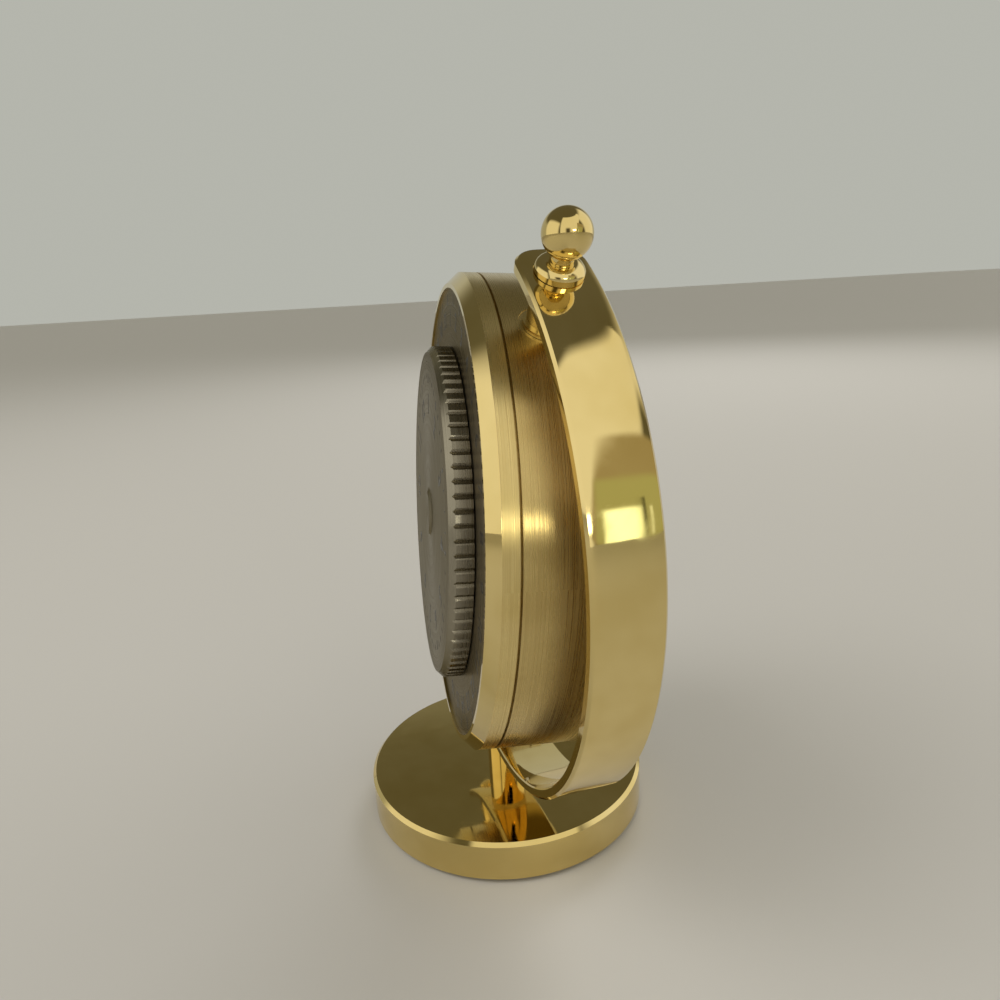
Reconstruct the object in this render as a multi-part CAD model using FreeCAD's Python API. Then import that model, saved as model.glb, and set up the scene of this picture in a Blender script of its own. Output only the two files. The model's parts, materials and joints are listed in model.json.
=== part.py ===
import FreeCAD
import Part
import math
import os

# Brass desk clock with a calendar: a drum-shaped head turns on a tilted axis inside a
# C-shaped arm on a round base. One face of the head carries a coin-edge calendar disc,
# the other a quartz clock insert that pulls out. Millimetres, +Z up, origin at the
# centre of the underside of the base. The arm lies in the XZ plane and bulges to +X,
# the calendar faces -Y and the clock faces +Y.

V = FreeCAD.Vector

# Stand
base_diameter = 52.6
base_height = 7.2
base_bevel = 0.6
pad_diameter = 49.0
pad_thickness = 1.0
pad_recess = 0.4
stem_diameter = 7.0
stem_length = 10.4
stem_offset = 12.0
arm_clearance = 6.0
arm_thickness = 1.6
arm_width = 9.5
arm_chamfer = 0.35
arm_corner = 3.6
arm_overrun = 6.0
arm_web = 0.9

# Screws that hold the stand together
base_screw_radius = 2.0
base_screw_head = 3.8
base_screw_head_height = 2.2
base_screw_grip = 4.0
arm_screw_radius = 1.25
arm_screw_head = 2.2
arm_screw_head_height = 1.2
arm_screw_grip = 3.2
screw_slot_width = 0.7
screw_slot_depth = 0.6
screw_hole_clearance = 0.1
screw_head_clearance = 0.2

# Swivel axis, and how the head stands in the photograph
axis_tilt = 35.8
rest_swivel = -7.0

# Finial and pivots
ball_diameter = 6.2
ball_height = 5.2
neck_diameter = 3.0
collar_diameter = 6.3
collar_edge_height = 0.9
collar_shoulder_height = 0.9
pivot_diameter = 3.0
pivot_clearance = 0.05
pivot_engagement = 2.7
spacer_diameter = 6.0
washer_thickness = 0.6
spotface_depth = 0.2
spotface_clearance = 0.1
screw_head_diameter = 5.2
screw_head_height = 1.5
screw_head_edge = 0.5
bush_wall = 1.0
bush_overlap = 0.2
washer_overhang = 0.4
pivot_well = 1.0

# Head shell, measured along the head axis from the swivel axis
drum_diameter = 75.0
case_half_width = 6.1
case_wall = 3.5
groove_width = 0.35
groove_depth = 1.1
bezel_width = 3.85
bezel_chamfer = 1.65
flange_width = 1.2
flange_offset = 1.8
flange_height = 4.0
spigot_clearance = 0.05
land_width = 0.65
spigot_depth = 3.0
bezel_screw_inset = 1.6
bezel_slot_width = 0.4
bezel_slot_depth = 0.3
bezel_screw_clearance = 0.05

# Calendar side
plate_thickness = 1.2
plate_recess = 0.4
disc_diameter = 52.8
disc_thickness = 3.3
disc_gap = 0.2
disc_bevel = 0.9
rib_count = 84
rib_depth = 0.35
face_diameter = 46.0
face_thickness = 0.4
spindle_diameter = 4.0
spindle_head_diameter = 8.0
spindle_head_height = 0.8
spindle_head_crown = 0.3
spindle_head_bevel = 0.8
spindle_clearance = 0.04
spindle_groove = 0.5
spindle_tip = 0.5
plate_bush_wall = 1.0
plate_bush_flange = 1.2
plate_bush_flange_height = 0.6
clip_thickness = 0.6
clip_width = 1.8
spring_thickness = 0.5
spring_width = 1.6
spring_play = 0.02
bezel_screw_diameter = 1.6
bezel_screw_count = 4

# Clock insert
cup_clearance = 0.8
cup_wall = 1.2
cup_back = 0.8
cup_gap = 0.1
dial_shelf = 1.0
grip_width = 2.0
grip_setback = 2.2
grip_groove = 0.5
grip_clearance = 0.03
glass_thickness = 1.2
glass_recess = 0.5
glass_rim = 0.2
gasket_thickness = 0.25
hand_room = 3.2
rehaut_wall = 1.5
dial_thickness = 0.5

# Movement
movement_diameter = 40.0
movement_depth = 8.8
movement_wall = 0.8
cover_thickness = 0.8
centre_tube_diameter = 6.0
nut_width = 9.0
nut_height = 1.0
tube_reach = 0.1
hour_tube_diameter = 4.4
minute_tube_diameter = 2.8
second_arbor_diameter = 1.2
arbor_clearance = 0.06
arbor_diameter = 1.0
wheel_thickness = 0.6
wheel_gap = 0.3
pinion_length = 0.8
tooth_height = 0.8
tooth_share = 0.37
root_clearance = 0.3
tooth_taper = 0.15
end_play = 0.1
blind_depth = 0.3
boss_height = 0.5
motion_module = 0.30
train_module = 0.20
knob_diameter = 6.5
knob_length = 2.0
knob_gap = 0.2
knob_rib_depth = 0.25
knob_rib_count = 20

# Hands: lengths from the centre, tails behind it, and the time that they show
minute_hand_length = 24.0
minute_hand_width = 1.9
minute_hand_tail = 5.5
hour_hand_length = 16.5
hour_hand_width = 2.4
hour_hand_tail = 5.0
second_hand_length = 26.0
second_hand_width = 0.6
second_hand_tail = 8.0
hand_thickness = 0.25
hand_gap = 0.3
hand_hub_wall = 0.9
hand_shoulder = 0.35
hand_tip_share = 0.4
hour_at_rest = 305.0
minute_at_rest = 60.0
second_at_rest = 180.0

# Drive: rotor, stator and coil
rotor_pivot = 0.3
rotor_radius = 1.6
rotor_length = 1.6
rotor_tip = 0.5
rotor_air_gap = 0.35
stator_thickness = 0.7
stator_ring_width = 1.3
stator_leg_width = 2.0
stator_lift = 0.1
coil_length = 12.0
coil_radius = 1.9
coil_drop = 7.8
coil_start = 1.4
coil_cheek = 0.8
core_half = 0.6

# Circuit board and battery
board_left = 16.5
board_low = 11.5
board_width = 9.0
board_length = 13.0
board_thickness = 0.6
board_gap = 0.2
board_edge = 0.3
chip_side = 3.0
chip_height = 0.9
crystal_radius = 0.75
crystal_length = 5.0
battery_diameter = 11.6
battery_height = 5.2
battery_offset = 12.6
battery_can_share = 0.8
battery_step_share = 0.86
battery_lift = 0.2
contact_width = 3.0
contact_thickness = 0.3
contact_reach = 1.1
contact_gap = 0.02
cap_depth = 0.6
cap_overhang = 0.25
cap_slot_width = 1.0
cap_slot_depth = 0.3
battery_hole_clearance = 0.3

# Sizes that follow from the ones above
drum_radius = drum_diameter / 2
base_bottom = pad_thickness - pad_recess
base_top = base_bottom + base_height
arm_inner = drum_radius + arm_clearance
arm_outer = arm_inner + arm_thickness
stem_foot_drop = math.sqrt(arm_outer**2 - stem_offset**2)
arm_centre = V(stem_offset, 0, base_top + stem_length + stem_foot_drop)
bore_radius = drum_radius - case_wall
pivot_radius = pivot_diameter / 2
bush_radius = pivot_radius + bush_wall
seat_radius = arm_outer - spotface_depth
base_screw_seat = pad_thickness + base_screw_head_height + screw_head_clearance
drum_flat = drum_radius - spotface_depth

tilt = math.radians(axis_tilt)
swivel_axis = V(math.sin(tilt), 0, math.cos(tilt))
axis_angle = 90.0 - axis_tilt

# The head is drawn with its axis along local Z, local X to the right and local Y up as
# the clock's dial is read, then turned so that the dial faces +Y.
dial_frame = FreeCAD.Rotation(V(-1, 0, 0), V(0, 0, 1), V(0, 1, 0))
head_turn = FreeCAD.Rotation(swivel_axis, rest_swivel)
head_place = FreeCAD.Placement(arm_centre, head_turn * dial_frame)
pivot_local = V(-math.sin(tilt), math.cos(tilt), 0)

nodes = {}


def rod(radius, low, high, x=0.0, y=0.0):
    return Part.makeCylinder(radius, high - low, V(x, y, low))


def tube(inner, outer, low, high, x=0.0, y=0.0):
    return rod(outer, low, high, x, y).cut(rod(inner, low - 1, high + 1, x, y))


def slot(half_length, width, low, high, x=0.0, y=0.0):
    return Part.makeBox(2 * half_length, width, high - low, V(x - half_length, y - width / 2, low))


def rod_along(direction, radius, near, far, start=V(0, 0, 0)):
    return Part.makeCylinder(radius, far - near, start + direction * near, direction)


def turned(outline):
    """Solid of revolution about Z from (radius, height) points."""
    points = [V(r, 0, z) for r, z in outline]
    wire = Part.makePolygon(points + [points[0]])
    return Part.Face(wire).revolve(V(0, 0, 0), V(0, 0, 1), 360)


def prism(points, low, high):
    wire = Part.makePolygon([V(x, y, low) for x, y in points + [points[0]]])
    return Part.Face(wire).extrude(V(0, 0, high - low))


def polar(radius, degrees):
    angle = math.radians(degrees)
    return radius * math.cos(angle), radius * math.sin(angle)


def fuse_all(shapes):
    return shapes[0].multiFuse(shapes[1:]).removeSplitter() if shapes[1:] else shapes[0]


def add_fixed(name, shape):
    nodes[name] = shape


def add_head(name, shape):
    placed = shape.copy()
    placed.Placement = head_place.multiply(placed.Placement)
    nodes[name] = placed


# Stand: base, pad and stem
def make_base():
    radius = base_diameter / 2
    body = turned([
        (0, base_bottom), (radius - base_bevel / 2, base_bottom),
        (radius, base_bottom + base_bevel / 2), (radius, base_top - base_bevel),
        (radius - base_bevel, base_top), (0, base_top),
    ])
    pocket = rod(pad_diameter / 2, base_bottom - 1, base_bottom + pad_recess)
    hole = rod(base_screw_radius + screw_hole_clearance, base_bottom - 1, base_top + 1)
    head = rod(base_screw_head + screw_head_clearance, base_bottom - 1, base_screw_seat)
    add_fixed("base_disc", body.cut(fuse_all([pocket, hole, head])))
    add_fixed("base_pad", rod(pad_diameter / 2, 0, pad_thickness))


def make_stem():
    radius = stem_diameter / 2
    body = rod(radius, base_top, base_top + stem_length + arm_thickness)
    band = rod_along(V(0, 1, 0), arm_outer, -arm_width, arm_width, arm_centre)
    low_hole = rod(base_screw_radius, base_top - 1, base_top + base_screw_grip)
    top = base_top + stem_length
    high_hole = rod(arm_screw_radius, top - arm_screw_grip, top + arm_thickness)
    add_fixed("stem", body.cut(band).cut(low_hole).cut(high_hole))

    foot = base_screw_seat - base_screw_head_height
    head = rod(base_screw_head, foot, base_screw_seat)
    shank = rod(base_screw_radius, base_screw_seat, base_top + base_screw_grip)
    cut = slot(base_screw_head + 1, screw_slot_width, foot - 1, foot + screw_slot_depth)
    add_fixed("base_screw", head.fuse(shank).cut(cut))

    seat = top + arm_web
    head = rod(arm_screw_head, seat, seat + arm_screw_head_height)
    shank = rod(arm_screw_radius, top - arm_screw_grip, seat)
    crown = seat + arm_screw_head_height
    cut = slot(arm_screw_head + 1, screw_slot_width, crown - screw_slot_depth, crown + 1)
    add_fixed("arm_screw", head.fuse(shank).cut(cut))


# Arm: a band bent to an arc, with rounded ends past both pivots
def arm_end_waste(pivot_degrees, sense):
    """Waste beyond an arm end, whose corners are rounded to arm_corner."""
    past = math.degrees((arm_overrun - arm_corner) / arm_outer)
    out = V(*polar(1, pivot_degrees + sense * past), 0)
    out = V(out.x, 0, out.y)
    along = V(-out.z * sense, 0, out.x * sense)
    frame = FreeCAD.Placement(arm_centre, FreeCAD.Rotation(along, V(0, 1, 0), out))
    low, high = arm_inner - 2, arm_outer + 2
    half = arm_width / 2
    flat = half - arm_corner
    waste = Part.makeBox(4 * arm_corner, 4 * half, high - low, V(0, -2 * half, low))
    keep = Part.makeBox(2 * arm_corner, 2 * flat, high - low, V(-arm_corner, -flat, low))
    keep = keep.fuse(rod(arm_corner, low, high, 0, flat))
    keep = keep.fuse(rod(arm_corner, low, high, 0, -flat))
    waste = waste.cut(keep)
    waste.Placement = frame
    return waste


def make_arm():
    half = arm_width / 2
    spare = math.degrees(1.5 * arm_overrun / arm_outer)
    outline = [
        V(arm_inner, -half, 0), V(arm_outer, -half, 0), V(arm_outer, half, 0), V(arm_inner, half, 0),
    ]
    face = Part.Face(Part.makePolygon(outline + [outline[0]]))
    band = face.revolve(V(0, 0, 0), V(0, 1, 0), 180 + 2 * spare)
    band.rotate(V(0, 0, 0), V(0, 1, 0), -(axis_angle + spare))
    band.translate(arm_centre)
    band = band.cut(arm_end_waste(axis_angle, 1))
    band = band.cut(arm_end_waste(axis_angle - 180, -1))
    outer = [edge for edge in band.Edges if on_surface(edge, arm_outer)]
    band = band.makeChamfer(arm_chamfer, outer)
    inner = [edge for edge in band.Edges if on_surface(edge, arm_inner)]
    band = band.makeChamfer(arm_chamfer / 2, inner)

    cuts = []
    for side in (swivel_axis, -swivel_axis):
        cuts.append(rod_along(side, pivot_radius, arm_inner - 2, arm_outer + 2, arm_centre))
        seat = max(collar_diameter, screw_head_diameter) / 2 + spotface_clearance
        cuts.append(rod_along(side, seat, seat_radius, arm_outer + 2, arm_centre))
    top = base_top + stem_length
    cuts.append(rod(arm_screw_radius, top - 2, top + 2 * arm_thickness))
    cuts.append(rod(arm_screw_head + screw_head_clearance, top + arm_web, top + 4 * arm_thickness))
    add_fixed("arm", band.cut(fuse_all(cuts)))


def on_surface(edge, radius):
    """True where an edge lies on the arm's cylinder of the given radius."""
    for share in (0.0, 0.5, 1.0):
        place = edge.valueAt(edge.FirstParameter + share * (edge.LastParameter - edge.FirstParameter))
        offset = place - arm_centre
        if abs(math.hypot(offset.x, offset.z) - radius) > 0.01:
            return False
    return True


# Finial and lower pivot screw, whose plain tips are the swivel's two pivots
def along_swivel(shape, sense=1):
    placed = shape.copy()
    turn = FreeCAD.Rotation(V(0, 0, 1), swivel_axis * sense)
    placed.Placement = FreeCAD.Placement(arm_centre, turn).multiply(placed.Placement)
    return placed


def revolved(edges):
    return Part.Face(Part.Wire(edges)).revolve(V(0, 0, 0), V(0, 0, 1), 360)


def line(start, end):
    return Part.LineSegment(start, end).toShape()


def pivot_outline(flange):
    """Plain pivot from its tip out to the arm's spotface, and the flange's foot there."""
    tip = drum_flat - pivot_engagement
    corners = ((0, tip), (pivot_radius, tip), (pivot_radius, seat_radius), (flange, seat_radius))
    points = [V(r, 0, z) for r, z in corners]
    return [line(start, end) for start, end in zip(points, points[1:])]


def make_finial():
    """Ball on a short neck over a collar with a rounded shoulder."""
    ball = ball_diameter / 2
    centre = arm_outer + ball_height
    neck = neck_diameter / 2
    collar = collar_diameter / 2
    edge_top = seat_radius + collar_edge_height
    shoulder_top = edge_top + collar_shoulder_height
    edges = pivot_outline(collar)
    edges.append(line(V(collar, 0, seat_radius), V(collar, 0, edge_top)))
    bulge = V(neck + (collar - neck) * math.sqrt(0.5), 0, edge_top + collar_shoulder_height * math.sqrt(0.5))
    edges.append(Part.Arc(V(collar, 0, edge_top), bulge, V(neck, 0, shoulder_top)).toShape())
    neck_top = centre - math.sqrt(ball**2 - neck**2)
    crown = V(0, 0, centre + ball)
    edges.append(line(V(neck, 0, shoulder_top), V(neck, 0, neck_top)))
    edges.append(Part.Arc(V(neck, 0, neck_top), V(ball, 0, centre), crown).toShape())
    edges.append(line(crown, V(0, 0, drum_flat - pivot_engagement)))
    add_fixed("finial", along_swivel(revolved(edges)))


def make_lower_pivot():
    """Slotted screw with a crowned head."""
    head = screw_head_diameter / 2
    edge_top = seat_radius + screw_head_edge
    top = seat_radius + screw_head_height
    rise = top - edge_top
    round_radius = (head**2 + rise**2) / (2 * rise)
    half_angle = math.asin(head / round_radius) / 2
    bulge = V(round_radius * math.sin(half_angle), 0, top - round_radius * (1 - math.cos(half_angle)))
    edges = pivot_outline(head)
    edges.append(line(V(head, 0, seat_radius), V(head, 0, edge_top)))
    edges.append(Part.Arc(V(head, 0, edge_top), bulge, V(0, 0, top)).toShape())
    edges.append(line(V(0, 0, top), V(0, 0, drum_flat - pivot_engagement)))
    cut = slot(head + 1, screw_slot_width, top - screw_slot_depth, top + 1)
    add_fixed("lower_pivot_screw", along_swivel(revolved(edges).cut(cut), -1))


def make_pivot_stack():
    """Spacer sleeve and washer on each pivot, and the bushes in the drum wall."""
    washer_low = drum_flat + pivot_clearance
    washer_high = washer_low + washer_thickness
    bore = pivot_radius + pivot_clearance
    band = rod_along(V(0, 1, 0), arm_inner, -arm_width, arm_width, arm_centre)
    for name, sense in (("upper", 1), ("lower", -1)):
        sleeve = tube(pivot_radius, spacer_diameter / 2, washer_high, arm_inner)
        add_fixed(name + "_spacer", along_swivel(sleeve, sense).common(band))
        washer = tube(bore, spacer_diameter / 2 + washer_overhang, washer_low, washer_high)
        add_fixed(name + "_washer", along_swivel(washer, sense))
        bush = rod_along(pivot_local * sense, bush_radius, bore_radius + bush_overlap, drum_flat)
        hole = rod_along(pivot_local * sense, bore, bore_radius, drum_flat + 1)
        add_head(name + "_bush", bush.cut(hole))


# Head shell
case_front = -case_half_width
case_back = case_half_width
flange_low = case_front + flange_offset
flange_high = flange_low + flange_width
flange_inner = bore_radius - flange_height
screw_circle = bore_radius - bezel_screw_inset
screw_radius = bezel_screw_diameter / 2
screw_head_radius = 2 * screw_radius
screw_head_depth = screw_radius
bezel_screw_tip = flange_low - 2 * flange_width
calendar_front = case_front - groove_width - bezel_width
clock_front = case_back + groove_width + bezel_width


def make_case():
    shell = tube(bore_radius, drum_radius, case_front, case_back)
    flange = tube(flange_inner, bore_radius + case_wall / 2, flange_low, flange_high)
    cuts = []
    for sense in (1, -1):
        side = pivot_local * sense
        cuts.append(rod_along(side, bush_radius, bore_radius - 1, drum_radius + 1))
        cuts.append(rod_along(side, spacer_diameter / 2 + pivot_well, drum_flat, drum_radius + 1))
    wide = screw_head_radius + bezel_screw_clearance
    deep = screw_head_depth + bezel_screw_clearance
    for index in range(bezel_screw_count):
        x, y = polar(screw_circle, screw_angle(index))
        cuts.append(rod(screw_radius + bezel_screw_clearance, flange_low - 1, flange_high + 1, x, y))
        cuts.append(Part.makeCone(screw_radius, wide, deep, V(x, y, flange_high - deep)))
    add_head("drum_case", shell.fuse(flange).removeSplitter().cut(fuse_all(cuts)))


def screw_angle(index):
    return 45 + index * 360 / bezel_screw_count


def make_bezel_screws():
    screws = []
    for index in range(bezel_screw_count):
        x, y = polar(screw_circle, screw_angle(index))
        neck = flange_high - screw_head_depth
        shank = rod(screw_radius, bezel_screw_tip, neck, x, y)
        head = Part.makeCone(screw_radius, screw_head_radius, screw_head_depth, V(x, y, neck))
        floor = flange_high - bezel_slot_depth
        cut = slot(screw_head_radius, bezel_slot_width, floor, flange_high + 1, x, y)
        screws.append(shank.fuse(head).cut(cut))
    add_head("bezel_screws", Part.makeCompound(screws))


plate_front = calendar_front + plate_recess
plate_back = plate_front + plate_thickness
plate_radius = drum_radius - bezel_chamfer - land_width
spigot_radius = bore_radius - spigot_clearance
spigot_inner = bore_radius - spigot_depth


def make_calendar_bezel():
    back = flange_low
    lip = case_front - groove_width
    body = turned([
        (spigot_inner, back), (spigot_inner, plate_back), (plate_radius, plate_back),
        (plate_radius, calendar_front), (drum_radius - bezel_chamfer, calendar_front),
        (drum_radius, calendar_front + bezel_chamfer), (drum_radius, lip),
        (drum_radius - groove_depth, lip), (drum_radius - groove_depth, case_front),
        (spigot_radius, case_front), (spigot_radius, back),
    ])
    holes = []
    for index in range(bezel_screw_count):
        x, y = polar(screw_circle, screw_angle(index))
        holes.append(rod(screw_radius, bezel_screw_tip, back + 1, x, y))
    add_head("calendar_bezel", body.cut(fuse_all(holes)))


# Calendar plate and the coin-edge disc that turns on it
spindle_radius = spindle_diameter / 2
bush_bore = spindle_radius + spindle_clearance
plate_bush_radius = bush_bore + plate_bush_wall
bush_flange = plate_bush_radius + plate_bush_flange
bush_back = plate_back + plate_bush_flange_height
disc_back = plate_front - disc_gap
disc_front = disc_back - disc_thickness
spring_back = bush_back + spring_thickness
clip_back = spring_back + clip_thickness

# One rib of a coin edge: shares of the pitch, and of the rib's depth below its crown
rib_profile = ((-0.37, 0.3), (-0.27, 0.0), (0.27, 0.0), (0.37, 0.3), (0.50, 1.0))


def make_calendar_plate():
    plate = rod(plate_radius, plate_front, plate_back)
    add_head("calendar_plate", plate.cut(rod(plate_bush_radius, plate_front - 1, plate_back + 1)))
    body = turned([
        (bush_bore, plate_front), (plate_bush_radius, plate_front), (plate_bush_radius, plate_back),
        (bush_flange, plate_back), (bush_flange, bush_back), (bush_bore, bush_back),
    ])
    add_head("plate_bush", body)


def coin_edge(radius, depth, count, low, high):
    """Prism with rounded ribs round its rim."""
    points = []
    pitch = 360 / count
    for index in range(count):
        for share, drop in rib_profile:
            points.append(polar(radius - depth * drop, (index + share) * pitch))
    return prism(points, low, high)


def make_calendar_disc():
    radius = disc_diameter / 2
    ribs = coin_edge(radius, rib_depth, rib_count, disc_front, disc_back)
    envelope = turned([
        (0, disc_front), (radius - disc_bevel, disc_front), (radius + 1, disc_front + disc_bevel + 1),
        (radius + 1, disc_back), (0, disc_back),
    ])
    body = ribs.common(envelope)
    cuts = [
        rod(face_diameter / 2, disc_front - 1, disc_front + face_thickness),
        rod(spindle_radius, disc_front - 1, disc_back + 1),
        rod(spindle_head_diameter / 2, disc_front - 1, disc_front + spindle_head_height),
    ]
    add_head("calendar_disc", body.cut(fuse_all(cuts)))
    face = tube(spindle_head_diameter / 2, face_diameter / 2, disc_front, disc_front + face_thickness)
    add_head("disc_face", face)

    groove = spindle_radius - spindle_groove
    seat = disc_front + spindle_head_height
    crown = disc_front - spindle_head_crown
    tip = clip_back + spindle_tip
    body = turned([
        (0, crown), (spindle_head_diameter / 2 - spindle_head_bevel, crown),
        (spindle_head_diameter / 2, disc_front), (spindle_head_diameter / 2, seat),
        (spindle_radius, seat), (spindle_radius, spring_back), (groove, spring_back),
        (groove, clip_back), (spindle_radius, clip_back), (spindle_radius, tip), (0, tip),
    ])
    add_head("disc_spindle", body)
    spring = tube(bush_bore, spindle_radius + spring_width, bush_back + spring_play, spring_back)
    add_head("spindle_spring_washer", spring)
    clip = tube(groove, spindle_radius + clip_width, spring_back, clip_back)
    reach = spindle_radius + groove / 2
    mouth = slot(spindle_radius, groove * math.sqrt(2), spring_back - 1, clip_back + 1, reach)
    add_head("spindle_clip", clip.cut(mouth))


# Clock insert: bezel, glass, dial and cup
cup_outer = bore_radius - cup_clearance
cup_inner = cup_outer - cup_wall
cup_low = flange_high + cup_gap
glass_top = clock_front - glass_recess
glass_low = glass_top - glass_thickness
dial_front = glass_low - hand_room
dial_back = dial_front - dial_thickness
rehaut_top = glass_low - gasket_thickness
shelf_inner = cup_inner - dial_shelf
glass_radius = cup_outer
sight_radius = cup_inner + glass_rim
grip_low = cup_low + grip_setback
grip_high = grip_low + grip_width
movement_radius = movement_diameter / 2


def make_clock_bezel():
    lip = case_back + groove_width
    neck = drum_radius - groove_depth
    body = turned([
        (cup_outer, case_back), (neck, case_back), (neck, lip), (drum_radius, lip),
        (drum_radius, clock_front - bezel_chamfer), (drum_radius - bezel_chamfer, clock_front),
        (sight_radius, clock_front), (sight_radius, glass_top), (glass_radius, glass_top),
    ])
    add_head("clock_bezel", body)
    add_head("clock_glass", rod(glass_radius, glass_low, glass_top))
    add_head("glass_gasket", tube(cup_inner, cup_outer, rehaut_top, glass_low))


def make_insert_cup():
    body = turned([
        (cup_outer, cup_low), (cup_outer, rehaut_top), (cup_inner, rehaut_top), (cup_inner, dial_back),
        (shelf_inner, dial_back), (shelf_inner, cup_low + cup_back),
        (movement_radius, cup_low + cup_back), (movement_radius, cup_low),
    ])
    groove = tube(cup_outer - grip_groove, cup_outer + 1, grip_low, grip_high)
    add_head("insert_cup", body.cut(groove))
    ring = tube(cup_outer - grip_groove, bore_radius - grip_clearance, grip_low, grip_high)
    add_head("grip_ring", ring)


def make_dial():
    hole = centre_tube_diameter / 2
    add_head("dial", tube(hole, cup_inner, dial_back, dial_front))
    body = turned([
        (cup_inner, dial_front), (cup_inner, rehaut_top), (cup_inner - rehaut_wall / 3, rehaut_top),
        (cup_inner - rehaut_wall, dial_front),
    ])
    add_head("dial_ring", body)


# Movement case: plate and wall in one piece, closed at the rear by a cover
movement_front = dial_back
movement_rear = movement_front - movement_depth
plate_rear = movement_front - movement_wall
cover_front = movement_rear + cover_thickness
tube_radius = centre_tube_diameter / 2
hour_radius = hour_tube_diameter / 2
minute_radius = minute_tube_diameter / 2
second_radius = second_arbor_diameter / 2
arbor_radius = arbor_diameter / 2
nut_low = dial_front
nut_high = dial_front + nut_height
tube_top = nut_high + tube_reach

# Wheel counts: 12:36 and 10:40 make 12 to 1; 8:60 and 8:64 make 60 to 1
cannon_teeth, motion_teeth, motion_pinion_teeth, hour_teeth = 12, 36, 10, 40
second_pinion_teeth, third_teeth, third_pinion_teeth, centre_teeth = 8, 60, 8, 64
rotor_pinion_teeth, step_teeth, step_pinion_teeth, second_teeth = 6, 36, 8, 40

motion_distance = motion_module * (cannon_teeth + motion_teeth) / 2
third_distance = train_module * (second_pinion_teeth + third_teeth) / 2
step_distance = train_module * (step_pinion_teeth + second_teeth) / 2
rotor_distance = train_module * (rotor_pinion_teeth + step_teeth) / 2
motion_at = polar(motion_distance, 180)
third_at = polar(third_distance, 0)
step_at = polar(step_distance, 270)
rotor_at = (step_at[0] - rotor_distance, step_at[1])
battery_at = (0.0, battery_offset)

# Heights of the wheel planes, counted back from the movement's front plate
leaf_gap = pinion_length - wheel_gap
hour_plane = plate_rear - wheel_gap - wheel_thickness
motion_plane = hour_plane - leaf_gap - wheel_thickness
centre_plane = motion_plane - 2 * wheel_gap - wheel_thickness
third_plane = centre_plane - 2 * wheel_gap - wheel_thickness
second_plane = third_plane - leaf_gap - wheel_thickness
step_plane = second_plane - wheel_gap - wheel_thickness
arbor_low = movement_rear + cover_thickness / 2
arbor_high = movement_front - blind_depth


def gear(teeth, module, phase, low, high, at=(0.0, 0.0)):
    """Spur wheel: straight-flanked teeth, the first one centred on the angle phase."""
    radius = teeth * module / 2
    tip = radius + tooth_height * module
    root = radius - (tooth_height + root_clearance) * module
    pitch = 360 / teeth
    points = []
    for index in range(teeth):
        middle = phase + index * pitch
        foot = pitch * (tooth_share + tooth_taper) / 2
        crest = pitch * (tooth_share - tooth_taper) / 2
        for reach, angle in ((root, -foot), (tip, -crest), (tip, crest), (root, foot)):
            x, y = polar(reach, middle + angle)
            points.append((x + at[0], y + at[1]))
    return prism(points, low, high)


def meshing_phase(teeth_a, phase_a, at_a, teeth_b, at_b):
    """Angle of the second wheel's first tooth, for its gap to meet the first one's tooth."""
    bearing = math.degrees(math.atan2(at_b[1] - at_a[1], at_b[0] - at_a[0]))
    pitch_a = 360 / teeth_a
    pitch_b = 360 / teeth_b
    share = ((bearing - phase_a) / pitch_a) % 1
    return bearing + 180 + (share + 0.5) * pitch_b


def mean_module(distance, teeth_a, teeth_b):
    return 2 * distance / (teeth_a + teeth_b)


def make_movement_case():
    shell = tube(movement_radius - movement_wall, movement_radius, cover_front, movement_front)
    plate = rod(movement_radius - movement_wall / 2, plate_rear, movement_front)
    neck = rod(tube_radius, plate_rear, tube_top)
    body = fuse_all([shell, plate, neck])
    hole = arbor_radius + arbor_clearance
    seats = [rod(hour_radius + arbor_clearance, plate_rear - 1, tube_top + 1)]
    for x, y in (motion_at, third_at):
        seats.append(rod(hole, plate_rear - 1, arbor_high + end_play, x, y))
    add_head("movement_case", body.cut(fuse_all(seats)))

    nut = prism([polar(nut_width / math.sqrt(3), 60 * i) for i in range(6)], nut_low, nut_high)
    add_head("centre_nut", nut.cut(rod(tube_radius, nut_low - 1, nut_high + 1)))

    cover = rod(movement_radius, movement_rear, cover_front)
    post_top = second_plane + pinion_length + blind_depth
    posts = [
        rod(arbor_radius - arbor_clearance, cover_front - end_play, post_top, *step_at),
        tube(hole, hole + movement_wall / 2, cover_front - end_play, cover_front + boss_height, *third_at),
    ]
    cover = fuse_all([cover] + posts)
    pit = arbor_low - end_play
    cuts = [
        rod(hole, pit, cover_front + 1, *third_at),
        rod(second_radius + arbor_clearance, pit, cover_front + 1),
        rod(hole, movement_rear - 1, cover_front + 1, *motion_at),
        rod(rotor_pivot + arbor_clearance, pit, cover_front + 1, *rotor_at),
        rod(battery_diameter / 2 + battery_hole_clearance, movement_rear - 1, cover_front + 1, *battery_at),
    ]
    add_head("movement_cover", cover.cut(fuse_all(cuts)))


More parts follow.
